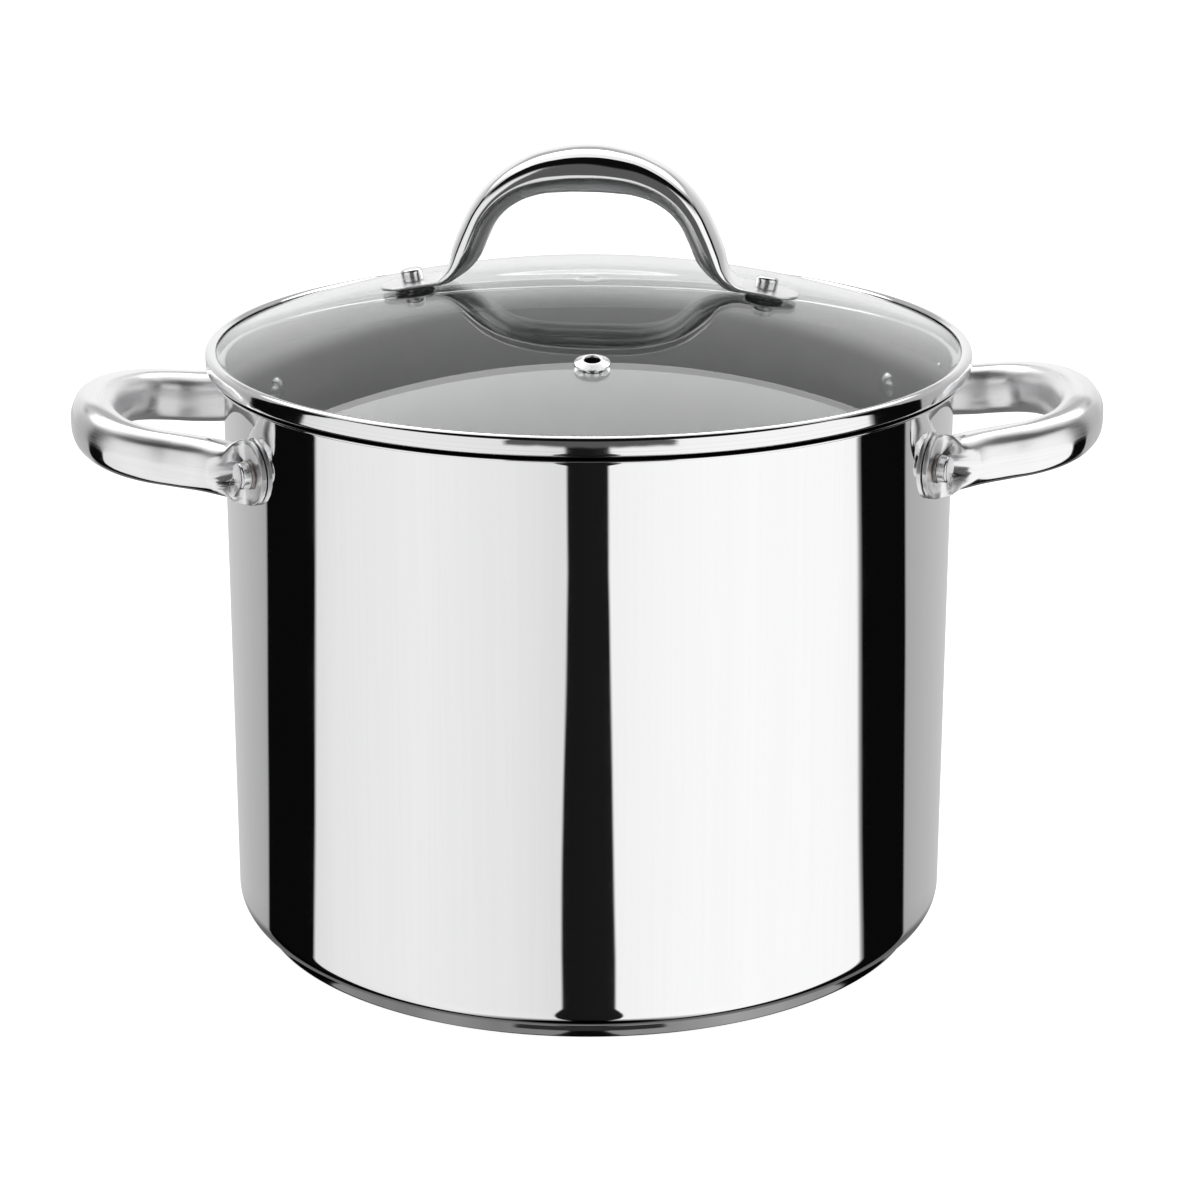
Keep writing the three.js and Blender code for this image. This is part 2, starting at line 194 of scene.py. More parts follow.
def satin_steel(name, stretch, light, dark, grain=900, rough=(0.24, 0.36)):
    """Brushed or tumbled stainless steel with a soft sheen and a fine grain."""
    material = new_finish(name)
    place = object_place(material)
    lines = noise(material, stretched(material, place, stretch), grain, 4)
    connect(
        material,
        Base_Color=shade_of(material, noise(material, place, 45, 4), dark, light),
        Roughness=spread(material, lines, *rough),
        Normal=relief(material, lines, 0.5, 0.00002),
    )
    return material


corner_centre = POT_OUTSIDE - SHELL_ROUND
corner_top = SHELL_LOW + SHELL_ROUND
floor_top = SHELL_LOW + WALL
lip_middle = RIM_TOP - LIP_DROP - LIP_THICK / 2
lip_end = LIP_RADIUS - LIP_THICK / 2
shell = turn_on_lathe("drawn_shell", [
    (0, SHELL_LOW),
    (FLOOR_RING, SHELL_LOW),
    (corner_centre - EASE, SHELL_LOW),
    *arc(corner_centre, corner_top, SHELL_ROUND, -90, 0, 16),
    (POT_OUTSIDE, corner_top + EASE),
    *[(POT_OUTSIDE, height) for height in WALL_RINGS],
    (POT_OUTSIDE, lip_middle - 2.2),
    *arc(POT_OUTSIDE + LIP_BEND, lip_middle - 1.9, LIP_BEND, 180, 100, 6),
    (lip_end - 0.3, lip_middle - LIP_THICK / 2),
    *arc(lip_end, lip_middle, LIP_THICK / 2, -90, 90, 12),
    (lip_end - 0.3, lip_middle + LIP_THICK / 2 + 0.02),
    (POT_INSIDE + 2.9, RIM_TOP - 0.45),
    *arc(POT_INSIDE + LIP_BEND, RIM_TOP - LIP_BEND, LIP_BEND, 70, 180, 10),
    (POT_INSIDE, RIM_TOP - 2.2),
    *[(POT_INSIDE, height) for height in reversed(WALL_RINGS)],
    (POT_INSIDE, corner_top + EASE),
    *arc(corner_centre, corner_top, SHELL_ROUND - WALL, 0, -90, 14),
    (corner_centre - EASE, floor_top),
    (FLOOR_RING, floor_top),
    (0, floor_top),
])

# The buffing lines run up and down; smears and slow waves break up the mirror.
mirror = new_finish("shell_mirror")
mirror_place = object_place(mirror)
mirror_along = stretched(mirror, mirror_place, (1, 1, 0.015))
mirror_lines = noise(mirror, mirror_along, 700, 4)
mirror_bands = maths(mirror, "MULTIPLY", mirror_lines, noise(mirror, mirror_along, 90, 3))
mirror_shade = maths(mirror, "MULTIPLY", mirror_bands, 2.0)
mirror_waves = relief(mirror, noise(mirror, mirror_place, 14, 0), 1.0, 0.0005)
connect(
    mirror,
    Base_Color=shade_of(mirror, mirror_shade, (0.914, 0.914, 0.919), (0.93, 0.93, 0.935)),
    Roughness=spread(mirror, noise(mirror, mirror_place, 30, 5), 0.02, 0.045),
    Normal=relief(mirror, mirror_lines, 0.15, 0.000003, mirror_waves),
)
shell.data.materials.append(mirror)
shell.data.materials.append(satin_steel(
    "shell_inside_satin", (1, 1, 0.2),
    light=(0.61, 0.61, 0.61), dark=(0.55, 0.55, 0.555), rough=(0.42, 0.52)))
# Near-black steel as painted shade: it darkens the lip's top and the band's underside, where the gap
# between them lies in shade.
painted_gap_shade = satin_steel(
    "painted_gap_shade_steel", (1, 1, 1),
    light=(0.06, 0.058, 0.056), dark=(0.03, 0.029, 0.028), rough=(0.35, 0.5))
shell.data.materials.append(painted_gap_shade)
for face in shell.data.polygons:
    middle = Vector(face.center) / MM
    reach = middle.xy.length
    inwards = face.normal.xy.dot(middle.xy) <= 1e-4
    if inwards and reach < POT_INSIDE + 0.2 and SHELL_LOW + WALL / 2 < middle.z < RIM_TOP - LIP_BEND:
        face.material_index = 1
    # The lip's top under the band's shelf gets the near-black painted shade.
    elif face.normal.z > 0.3 and POT_INSIDE + 1 < reach < LIP_RADIUS - 0.5:
        face.material_index = 2
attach(shell, "pot")
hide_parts("pot_shell")


# ---------- base ----------
# An aluminium disc is pressed on under the shell and closed in by a thin dished steel cap.
# The cap is turned on its flat side, and its rolled edge shows below the shell.
CAP_RADIUS = 113.3
CAP_TOP = 3.9
CAP_ROUND = 1.3
CAP_SHEET = 0.5
CAP_RING = 50

cap_centre = CAP_RADIUS - CAP_ROUND
cap_inside = CAP_RADIUS - CAP_SHEET
cap = turn_on_lathe("base_dish", [
    (0, 0),
    (CAP_RING, 0),
    (cap_centre - 0.5, 0),
    *arc(cap_centre, CAP_ROUND, CAP_ROUND, -90, 0, 12),
    (CAP_RADIUS - 0.1, CAP_TOP - 0.3),
    (CAP_RADIUS - 0.3, CAP_TOP),
    (cap_inside, CAP_TOP),
    (cap_inside - 0.1, CAP_TOP - 0.4),
    *arc(cap_centre, CAP_ROUND, CAP_ROUND - CAP_SHEET, 0, -90, 8),
    (CAP_RING, CAP_SHEET),
    (0, CAP_SHEET),
])
cap_finish = new_finish("base_turned_satin")
cap_place = object_place(cap_finish)
cap_reach = vector_value(cap_finish, "LENGTH", stretched(cap_finish, cap_place, (1, 1, 0)))
cap_grooves = add_node(
    cap_finish, "TexNoise", {"W": cap_reach, "Scale": 2200, "Detail": 3}, noise_dimensions="1D",
).outputs["Fac"]
cap_clouds = noise(cap_finish, cap_place, 25, 5)
connect(
    cap_finish,
    Base_Color=shade_of(cap_finish, cap_clouds, (0.2, 0.2, 0.205), (0.33, 0.33, 0.335)),
    Roughness=spread(cap_finish, cap_grooves, 0.05, 0.1),
    Normal=relief(cap_finish, cap_grooves, 0.5, 0.00002),
)
cap.data.materials.append(cap_finish)
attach(cap, "pot")
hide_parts("base_cap")

# The disc itself is closed in, so the model's own solid keeps its place with a cast finish.
core_finish = new_finish("disc_cast_aluminium")
core_grit = noise(core_finish, object_place(core_finish), 1500, 4)
connect(
    core_finish,
    Base_Color=shade_of(core_finish, core_grit, (0.55, 0.55, 0.56), (0.72, 0.72, 0.73)),
    Roughness=spread(core_finish, core_grit, 0.4, 0.55),
    Normal=relief(core_finish, core_grit, 0.4, 0.00005),
)
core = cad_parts["base_core"]
core.data.materials.clear()
core.data.materials.append(core_finish)


# ---------- side handles ----------
# Each handle is one stainless tube, bent to a loop. Its ends are pressed flat against the wall and
# take one rivet each. The tube is buffed along its length; its feet and inner side are left satin.
HANDLE_HEIGHT = 170.3
HANDLE_RISE = 6
HANDLE_REACH = 163.6
HANDLE_HALF_WIDE = 7.5
HANDLE_HALF_TALL = 8.6
LEVEL_UNTIL = 110
FOOT_HALF_THICK = 0.85
FOOT_HALF_TALL = 10.6
FOOT_TO_TUBE = (13.6, 17.6)
RIVET_ANGLE = 27.2
COLLAR_RADIUS = 4.7
COLLAR_ROOM = 0.2
DIMPLE_SLOPE = 6
NEAR_WALL = 135
TUBE_SIDES = 48
TIP_SHARE = 0.02
STRAIGHT_RADIUS = 8


def smoothstep(low, high, value):
    t = min(max((value - low) / (high - low), 0), 1)
    return t * t * (3 - 2 * t)


def mix(a, b, t):
    return a + (b - a) * t


def bend_line(points):
    """The line that a straight tube is bent along."""
    line = bpy.data.curves.new("bend_line", "CURVE")
    line.dimensions = "3D"
    line.twist_mode = "Z_UP"
    spline = line.splines.new("BEZIER")
    spline.bezier_points.add(len(points) - 1)
    spline.resolution_u = 48
    for knot, point in zip(spline.bezier_points, points):
        knot.co = Vector(point) * MM
    for knot in spline.bezier_points:
        knot.handle_left_type = "AUTO"
        knot.handle_right_type = "AUTO"
    guide = bpy.data.objects.new("bend_line", line)
    bpy.context.collection.objects.link(guide)
    return guide


def straight_tube(name, length, cuts):
    """A closed tube of radius 1 mm along X, cut into rings along its length."""
    bpy.ops.object.select_all(action="DESELECT")
    bpy.ops.mesh.primitive_cylinder_add(
        vertices=TUBE_SIDES, radius=MM, depth=length, end_fill_type="TRIFAN",
        location=(length / 2, 0, 0), rotation=(0, math.pi / 2, 0))
    tube = bpy.context.object
    tube.name = name
    bpy.ops.object.transform_apply(location=True, rotation=True, scale=True)
    bpy.ops.object.mode_set(mode="EDIT")
    bpy.ops.mesh.select_mode(type="EDGE")
    bpy.ops.mesh.select_all(action="DESELECT")
    cage = bmesh.from_edit_mesh(tube.data)
    for edge in cage.edges:
        edge.select_set(abs(edge.verts[0].co.x - edge.verts[1].co.x) > length / 2)
    bmesh.update_edit_mesh(tube.data)
    bpy.ops.mesh.subdivide(number_cuts=cuts)
    bpy.ops.object.mode_set(mode="OBJECT")
    return tube


def press_tube(tube, length, foot, tube_size, foot_to_tube, squareness, rounded):
    """Presses both ends flat, and keeps where each point was on the straight tube.

    foot is half the plate's size along Y and Z, and tube_size gives the tube's own at a distance
    from its end. squareness holds the corner powers of plate and tube, and how far the plate's lasts.
    rounded is the axis that the plate's end is rounded along, 0 for Y and 1 for Z.
    """
    straight = tube.data.attributes.new("straight", "FLOAT_VECTOR", "POINT")
    whole = length / MM
    round_end = foot[rounded]
    foot_power, tube_power, foot_share = squareness
    for vertex, kept in zip(tube.data.vertices, straight.data):
        along = vertex.co.x / MM
        from_end = min(along, whole - along)
        centre = vertex.co.yz.length < MM / 2
        angle = math.atan2(vertex.co.z, vertex.co.y)
        narrowed = [1.0, 1.0]
        if from_end < round_end:
            swing = math.pi / 2 * from_end / round_end
            narrowed[rounded] = max(math.sin(swing), TIP_SHARE)
            from_end = round_end * (1 - math.cos(swing))
        grown = smoothstep(*foot_to_tube, from_end)
        power = 2 / mix(foot_power, tube_power, smoothstep(0, foot_share, grown))
        halves = [mix(f, t, grown) * n for f, t, n in zip(foot, tube_size(from_end), narrowed)]
        turned = (math.cos(angle), math.sin(angle))
        across = [h * math.copysign(abs(u) ** power, u) for h, u in zip(halves, turned)]
        x = from_end if along < whole / 2 else whole - from_end
        vertex.co = Vector((x, 0, 0) if centre else (x, *across)) * MM
        kept.vector = (x, STRAIGHT_RADIUS * turned[0], STRAIGHT_RADIUS * turned[1])


def bend_tube(tube, guide):
    """Bends the tube along the line and removes the line."""
    bpy.context.view_layer.objects.active = tube
    bend = tube.modifiers.new("bend", "CURVE")
    bend.object = guide
    bend.deform_axis = "POS_X"
    bpy.ops.object.modifier_apply(modifier=bend.name)
    bpy.data.objects.remove(guide)


def close_ends(tube):
    """Joins the points that meet at the pressed ends and smooths the whole tube."""
    bpy.context.view_layer.objects.active = tube
    bpy.ops.object.mode_set(mode="EDIT")
    bpy.ops.mesh.select_all(action="SELECT")
    bpy.ops.mesh.remove_doubles(threshold=1e-6)
    bpy.ops.mesh.normals_make_consistent(inside=False)
    bpy.ops.object.mode_set(mode="OBJECT")
    bpy.ops.object.shade_smooth()


def polished_tube(name, length, foot_length, satin_side):
    """Steel tube buffed along its length; the feet, the inner side and one more side are left satin."""
    material = new_finish(name)
    place = add_node(material, "Attribute", attribute_name="straight").outputs["Vector"]
    along = stretched(material, place, (0.02, 1, 1))
    lines = noise(material, along, 2.2, 4)
    bands = noise(material, along, 0.35, 3)
    dents = noise(material, stretched(material, place, (0.25, 1, 1)), 0.12, 1)
    position = add_node(material, "SeparateXYZ", {"Vector": place}).outputs["X"]
    from_end = maths(material, "MINIMUM", position, maths(material, "SUBTRACT", length, position))
    fade = 3
    foot = between(material, from_end, foot_length - fade, foot_length + fade, 1.0, 0.0)
    ragged = maths(material, "MULTIPLY", bands, 0.25)
    reach = maths(material, "ADD", vector_value(material, "DOT_PRODUCT", place, satin_side), ragged)
    near_end = between(material, from_end, 76, 60)
    side = maths(material, "MULTIPLY", between(material, reach, 0.82, 0.98), near_end)
    inwards = vector_value(material, "DOT_PRODUCT", place, (0, 1 / STRAIGHT_RADIUS, 0))
    inner = between(material, inwards, 0.1, 0.5)
    satin = maths(material, "MAXIMUM", foot, maths(material, "MAXIMUM", inner, side))
    buffed_rough = spread(material, bands, 0.035, 0.1)
    satin_rough = spread(material, lines, 0.28, 0.4)
    pressed = relief(material, dents, 1.0, 0.0008)
    connect(
        material,
        Base_Color=shade_of(material, lines, (0.88, 0.88, 0.885), (0.93, 0.93, 0.935)),
        Roughness=blend(material, satin, buffed_rough, satin_rough),
        Normal=relief(material, lines, 0.3, 0.00001, pressed),
    )
    return material


def copy_piece(piece, name):
    """A copy with a mesh of its own."""
    twin = piece.copy()
    twin.data = piece.data.copy()
    twin.name = name
    bpy.context.collection.objects.link(twin)
    return twin


def round_wall(radius, angle):
    """A point at a radius and an angle in degrees, 0 towards the right."""
    return radius * math.cos(math.radians(angle)), radius * math.sin(math.radians(angle))


wall_face = POT_OUTSIDE + 0.3
foot_radius = wall_face + FOOT_HALF_THICK
foot_face = wall_face + 2 * FOOT_HALF_THICK
loop_half = [round_wall(foot_radius, angle) for angle in (31.3, 29, 26.8)] + [
    (116.2, 49.6), (124, 44.6), (133, 41.6), (143, 39.2), (152, 34), (158.7, 24.6), (162.6, 13),
]
loop_plan = [(x, -y) for x, y in loop_half] + [(HANDLE_REACH, 0)] + loop_half[::-1]
loop_guide = bend_line([
    (x, y, HANDLE_HEIGHT + HANDLE_RISE * (max(x - LEVEL_UNTIL, 0) / (HANDLE_REACH - LEVEL_UNTIL)) ** 2)
    for x, y in loop_plan
])
loop_length = loop_guide.data.splines[0].calc_length()
loop = straight_tube("side_loop_right", loop_length, 260)
press_tube(
    loop, loop_length, (FOOT_HALF_THICK, FOOT_HALF_TALL),
    lambda from_end: (HANDLE_HALF_WIDE, HANDLE_HALF_TALL),
    FOOT_TO_TUBE, squareness=(18, 2.6, 0.8), rounded=1)
bend_tube(loop, loop_guide)

# The press forms the foot to the wall's round, and dimples it round the rivet for its collar.
rivet_points = [
    Vector((*round_wall(foot_face, angle), HANDLE_HEIGHT)) for angle in (RIVET_ANGLE, -RIVET_ANGLE)
]
for vertex in loop.data.vertices:
    point = vertex.co / MM
    reach = point.xy.length
    if reach > NEAR_WALL:
        continue
    on_foot = Vector((*(point.xy.normalized() * foot_face), point.z))
    clear = min((on_foot - rivet_point).length for rivet_point in rivet_points)
    allowed = foot_face + max(clear - COLLAR_RADIUS - COLLAR_ROOM, 0) * DIMPLE_SLOPE
    held = min(max(reach, wall_face), allowed)
    point.xy = point.xy * (held / reach)
    vertex.co = point * MM
close_ends(loop)
loop.data.materials.append(polished_tube(
    "side_handle_polish", loop_length / MM, foot_length=19, satin_side=(0, -0.094, 0.0825)))
other_loop = copy_piece(loop, "side_loop_left")
other_loop.data.transform(Matrix.Rotation(math.pi, 4, "Z"))
for piece, node in ((loop, "side_handle_right"), (other_loop, "side_handle_left")):
    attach(piece, "pot")
    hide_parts(node)


# ---------- rivets of the side handles ----------
# Solid stainless rivets: a low dome inside the pot, a collar on the handle's foot, and a tall
# button head outside. Tumbled satin, all four alike; the collar is painted a dark brownish grey as
# painted shade round the head's foot. The dome is listed as radius and depth.
SHANK = 2.4
HEAD_RADIUS = 4.4
HEAD_HEIGHT = 3.4
INNER_HEAD = 4.6
INNER_DOME = ((0, 2.6), (0.8, 2.58), (2.0, 2.35), (3.2, 1.75), (4.1, 0.95), (INNER_HEAD, 0.35))
COLLAR_THICK = 0.9
COLLAR_EDGE = 0.35

collar_low = foot_face + 0.05
collar_top = collar_low + COLLAR_THICK
head_top = collar_top + HEAD_HEIGHT
inner_face = POT_INSIDE + 0.1
rivet = turn_on_lathe("wall_rivet", [
    *[(radius, inner_face - depth) for radius, depth in INNER_DOME],
    (INNER_HEAD, inner_face),
    (SHANK, inner_face),
    (SHANK, collar_top),
    (HEAD_RADIUS - 0.25, collar_top),
    (HEAD_RADIUS, collar_top + 0.25),
    (HEAD_RADIUS, head_top - 1.0),
    *arc(HEAD_RADIUS - 0.8, head_top - 0.85, 0.8, 5, 85, 7),
    (HEAD_RADIUS - 1.6, head_top - 0.02),
    (0.7, head_top),
    (0, head_top),
], sides=48)
collar = turn_on_lathe("wall_collar", [
    (SHANK + 0.1, collar_low),
    (COLLAR_RADIUS, collar_low),
    *arc(COLLAR_RADIUS - COLLAR_EDGE, collar_top - COLLAR_EDGE, COLLAR_EDGE, 0, 90, 5),
    (SHANK + 0.1, collar_top),
    (SHANK + 0.1, collar_low),
], sides=64)
rivet_satin = satin_steel(
    "rivet_satin", (1, 1, 1),
    light=(0.86, 0.86, 0.87), dark=(0.72, 0.72, 0.73), grain=1600, rough=(0.16, 0.28))
# The collar's dark brownish grey is painted shade between the rivet's head and the handle's foot.
collar_painted_shade = satin_steel(
    "collar_painted_shade", (1, 1, 1),
    light=(0.42, 0.39, 0.37), dark=(0.28, 0.255, 0.24), grain=1600)
rivet.data.materials.append(rivet_satin)
collar.data.materials.append(collar_painted_shade)
corners = {
    "right_back": RIVET_ANGLE, "right_front": -RIVET_ANGLE,
    "left_back": 180 - RIVET_ANGLE, "left_front": 180 + RIVET_ANGLE,
}
for corner, angle in corners.items():
    laid = (
        Matrix.Translation((0, 0, HANDLE_HEIGHT * MM))
        @ Matrix.Rotation(math.radians(angle), 4, "Z")
        @ Matrix.Rotation(math.pi / 2, 4, "Y")
    )
    for part, node in ((rivet, "pot_rivet_"), (collar, "pot_washer_")):
        placed = copy_piece(part, part.name + "_" + corner)
        placed.data.transform(laid)
        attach(placed, "pot")
        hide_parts(node + corner)
for part in (rivet, collar):
    bpy.data.objects.remove(part)


# ---------- lid glass ----------
# Tempered glass, 3.6 mm, sagged to a shallow dome, with holes for the two rivets and the vent.
# The lid lies turned a little on the pot, and its fittings are placed by a reach and an angle on it.
GLASS_APEX = 221.3
DOME_RADIUS = 346
GLASS_THICK = 3.6
GLASS_EDGE = 124.4
BEVEL_IN = 0.8
BEVEL_DOWN = 0.7
DOME_RINGS = 44
LID_TURN = -7.8
VENT_REACH = 81.5
VENT_ANGLE = -83.4
VENT_HOLE = 2.3
RIVET_REACH = 58
RIVET_HOLE = 3.2

lid_turn = Matrix.Rotation(math.radians(LID_TURN), 4, "Z")


def dome_top(reach):
    return GLASS_APEX - DOME_RADIUS + math.sqrt(DOME_RADIUS ** 2 - reach ** 2)


def on_dome(reach, angle):
    """Sets a part made upright at the origin square on the glass, at a reach and an angle of the lid."""
    return (
        lid_turn
        @ Matrix.Rotation(math.radians(angle), 4, "Z")
        @ Matrix.Translation((reach * MM, 0, dome_top(reach) * MM))
        @ Matrix.Rotation(math.asin(reach / DOME_RADIUS), 4, "Y")
    )


dome_steps = [0, 3] + [GLASS_EDGE * i / DOME_RINGS for i in range(2, DOME_RINGS)]
bevel_reach = GLASS_EDGE - BEVEL_IN
dome = turn_on_lathe("glass_dome", [
    *[(reach, dome_top(reach) - GLASS_THICK) for reach in dome_steps],
    (bevel_reach, dome_top(bevel_reach) - GLASS_THICK),
    (GLASS_EDGE, dome_top(GLASS_EDGE) - GLASS_THICK + BEVEL_DOWN),
    (GLASS_EDGE, dome_top(GLASS_EDGE) - BEVEL_DOWN),
    (bevel_reach, dome_top(bevel_reach)),
    *[(reach, dome_top(reach)) for reach in dome_steps[::-1]],
])
holes = (
    (RIVET_REACH, 0, RIVET_HOLE),
    (RIVET_REACH, 180, RIVET_HOLE),
    (VENT_REACH, VENT_ANGLE, VENT_HOLE + 0.75),
)
for hole_reach, hole_angle, hole_radius in holes:
    bpy.ops.object.select_all(action="DESELECT")
    bpy.ops.mesh.primitive_cylinder_add(vertices=64, radius=hole_radius * MM, depth=20 * MM)
    drill = bpy.context.object
    drill.data.transform(on_dome(hole_reach, hole_angle))
    bpy.context.view_layer.objects.active = dome
    bore = dome.modifiers.new("bore", "BOOLEAN")
    bore.object = drill
    bore.operation = "DIFFERENCE"
    bore.solver = "EXACT"
    bpy.ops.object.modifier_apply(modifier=bore.name)
    bpy.data.objects.remove(drill)
bpy.ops.object.select_all(action="DESELECT")
dome.select_set(True)
bpy.context.view_layer.objects.active = dome
bpy.ops.object.shade_smooth_by_angle(angle=math.radians(40))
glass = new_finish("tempered_glass", metallic=0.0)
surface_of(glass).inputs["Transmission Weight"].default_value = 1.0
surface_of(glass).inputs["IOR"].default_value = 1.5
glass_place = object_place(glass)
glass_dust = noise(glass, glass_place, 60, 6)
connect(
    glass,
    Base_Color=shade_of(glass, glass_dust, (0.93, 0.95, 0.945), (0.96, 0.975, 0.97)),
    Roughness=spread(glass, glass_dust, 0.0, 0.006),
    Normal=relief(glass, noise(glass, glass_place, 18, 1), 1.0, 0.00004),
)
dome.data.materials.append(glass)
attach(dome, "lid")
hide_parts("lid_glass")


# ---------- lid rim band ----------
# Thin stainless strip rolled over the glass's edge. Its shelf rests on the pot's lip and its skirt
# hangs inside. Polished, with buffing lines that run round it; under the shelf it is painted near black
# as painted shade.
BAND_RADIUS = 126.3
BAND_SHEET = 0.5
BAND_TOP = 200.1
BEAD = 1.9
LOW_CORNER = 1.4
SKIRT_RADIUS = 119.3
SKIRT_LOW = 186
SKIRT_BEND = 0.9
SHELF_GAP = 0.3

shelf = RIM_TOP + SHELF_GAP
bead = (BAND_RADIUS - BEAD, BAND_TOP - BEAD)
low = (BAND_RADIUS - LOW_CORNER, shelf + LOW_CORNER)
lip_edge = BAND_RADIUS - 3.4
lip_top = BAND_TOP - 0.6
skirt_inside = SKIRT_RADIUS - BAND_SHEET
bend_inside = (skirt_inside + SKIRT_BEND, shelf + BAND_SHEET - SKIRT_BEND)
band = turn_on_lathe("rolled_band", [
    (lip_edge, lip_top - BAND_SHEET),
    (bead[0] - 0.4, BAND_TOP - BAND_SHEET - 0.1),
    *arc(*bead, BEAD - BAND_SHEET, 90, 0, 8),
    *arc(*low, LOW_CORNER - BAND_SHEET, 0, -90, 6),
    (skirt_inside + SKIRT_BEND + 0.5, shelf + BAND_SHEET),
    *arc(*bend_inside, SKIRT_BEND, 90, 180, 6),
    (skirt_inside - 0.02, shelf - 0.8),
    (skirt_inside - 0.3, SKIRT_LOW + 0.2),
    (skirt_inside - 0.2, SKIRT_LOW),
    (SKIRT_RADIUS - 0.4, SKIRT_LOW),
    (SKIRT_RADIUS - 0.3, SKIRT_LOW + 0.2),
    (SKIRT_RADIUS - 0.02, shelf - 1.2),
    *arc(SKIRT_RADIUS + SKIRT_BEND, shelf - SKIRT_BEND, SKIRT_BEND, 180, 90, 6),
    (SKIRT_RADIUS + SKIRT_BEND + 0.4, shelf),
    (low[0] - 0.4, shelf),
    *arc(*low, LOW_CORNER, -90, 0, 10),
    *arc(*bead, BEAD, 0, 90, 12),
    (bead[0] - 0.6, BAND_TOP - 0.15),
    (lip_edge + 0.15, lip_top),
    (lip_edge, lip_top - 0.15),
    (lip_edge, lip_top - BAND_SHEET),
])
band_finish = new_finish("band_mirror")
band_place = object_place(band_finish)
band_height = add_node(band_finish, "SeparateXYZ", {"Vector": band_place}).outputs["Z"]
band_reach = vector_value(band_finish, "LENGTH", stretched(band_finish, band_place, (1, 1, 0)))
band_across = add_node(band_finish, "CombineXYZ", {0: band_reach, 1: band_height}).outputs[0]
band_lines = noise(band_finish, band_across, 5000, 2)
band_rolls = noise(band_finish, band_place, 70, 2)
band_waves = relief(band_finish, band_rolls, 1.0, 0.0001)
connect(
    band_finish,
    Base_Color=shade_of(band_finish, band_lines, (0.84, 0.84, 0.85), (0.93, 0.93, 0.935)),
    Roughness=spread(band_finish, band_rolls, 0.03, 0.08),
    Normal=relief(band_finish, band_lines, 0.25, 0.000004, band_waves),
)
band.data.materials.append(band_finish)
band.data.materials.append(painted_gap_shade)
# Faces under the shelf take the near-black painted shade of the gap above the pot's lip.
for face in band.data.polygons:
    middle = Vector(face.center) / MM
    if face.normal.z < -0.75 and middle.z < shelf + 0.6 and middle.xy.length > SKIRT_RADIUS + 0.4:
        face.material_index = 1
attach(band, "lid")
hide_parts("lid_rim_band")


# ---------- steam vent ----------
# A small stainless eyelet lines the vent hole: a bright raised flange on top, a tube through the
# glass whose bore is painted near black as painted shade, and a washer that holds it from below. Heights
# are from the glass's top.
FLANGE_RADIUS = 5.6
TUBE_WALL = 0.7
TUBE_LOW = -GLASS_THICK - 1.6
WASHER_LOW = -GLASS_THICK - 1.2
WASHER_TOP = -GLASS_THICK - 0.4
WASHER_EDGE = 0.2

eyelet = turn_on_lathe("vent_ring", [
    (VENT_HOLE, TUBE_LOW),
    (VENT_HOLE + TUBE_WALL, TUBE_LOW),
    (VENT_HOLE + TUBE_WALL, -0.1),
    (VENT_HOLE + TUBE_WALL, 0.03),
    (FLANGE_RADIUS - 0.3, 0.03),
    (FLANGE_RADIUS, 0.25),
    (FLANGE_RADIUS - 0.1, 0.55),
    *arc(VENT_HOLE + 0.75, 1.0, 0.6, 65, 180, 12),
    (VENT_HOLE + 0.1, 0.6),
    (VENT_HOLE, -0.6),
    (VENT_HOLE, TUBE_LOW),
], sides=64)
vent_washer = turn_on_lathe("vent_backing", [
    (VENT_HOLE + 1.0, WASHER_LOW),
    (FLANGE_RADIUS - WASHER_EDGE, WASHER_LOW),
    (FLANGE_RADIUS, WASHER_LOW + WASHER_EDGE),
    (FLANGE_RADIUS, WASHER_TOP - WASHER_EDGE),
    (FLANGE_RADIUS - WASHER_EDGE, WASHER_TOP),
    (VENT_HOLE + 1.0, WASHER_TOP),
    (VENT_HOLE + 1.0, WASHER_LOW),
], sides=64)
eyelet.data.materials.append(satin_steel(
    "vent_bright", (1, 1, 1),
    light=(0.95, 0.95, 0.955), dark=(0.86, 0.86, 0.865), grain=1200, rough=(0.2, 0.3)))
eyelet.data.materials.append(satin_steel(
    "vent_bore_painted_shade", (1, 1, 1),
    light=(0.08, 0.08, 0.08), dark=(0.04, 0.04, 0.04), grain=1200, rough=(0.4, 0.5)))
# The bore's faces take the near-black painted shade of the hole's inside.
for face in eyelet.data.polygons:
    middle = Vector(face.center) / MM
    if middle.xy.length < VENT_HOLE + 0.2 and middle.z < 0.9:
        face.material_index = 1
vent_washer.data.materials.append(rivet_satin)
vent_pieces = (
    (eyelet, "vent_eyelet", "mirror_steel"),
    (vent_washer, "vent_washer", "satin_steel"),
)
for piece, node, finish_slot in vent_pieces:
    piece.data.transform(on_dome(VENT_REACH, VENT_ANGLE))
    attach(piece, "lid")
    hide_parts(node)


# ---------- lid handle ----------
# Arched stainless tube, thick at the crown and flatter in the legs. Its ends are pressed to thin
# plates that lie on the glass. Polished on top; satin on the lower front, the inside and the feet.
ARCH_TOP = 257.2
ARCH_HALF_THICK = 7.6
LEG_HALF_THICK = 5
LEG_TO_CROWN = (46, 88)
ARCH_HALF_DEEP = 10
PLATE_HALF_THICK = 0.6
PLATE_HALF_DEEP = 9
PLATE_TO_LEG = (17, 36)
PAD_SEAT = 0.15
PAD_THICK = 0.7
PLATE_GAP = 0.3

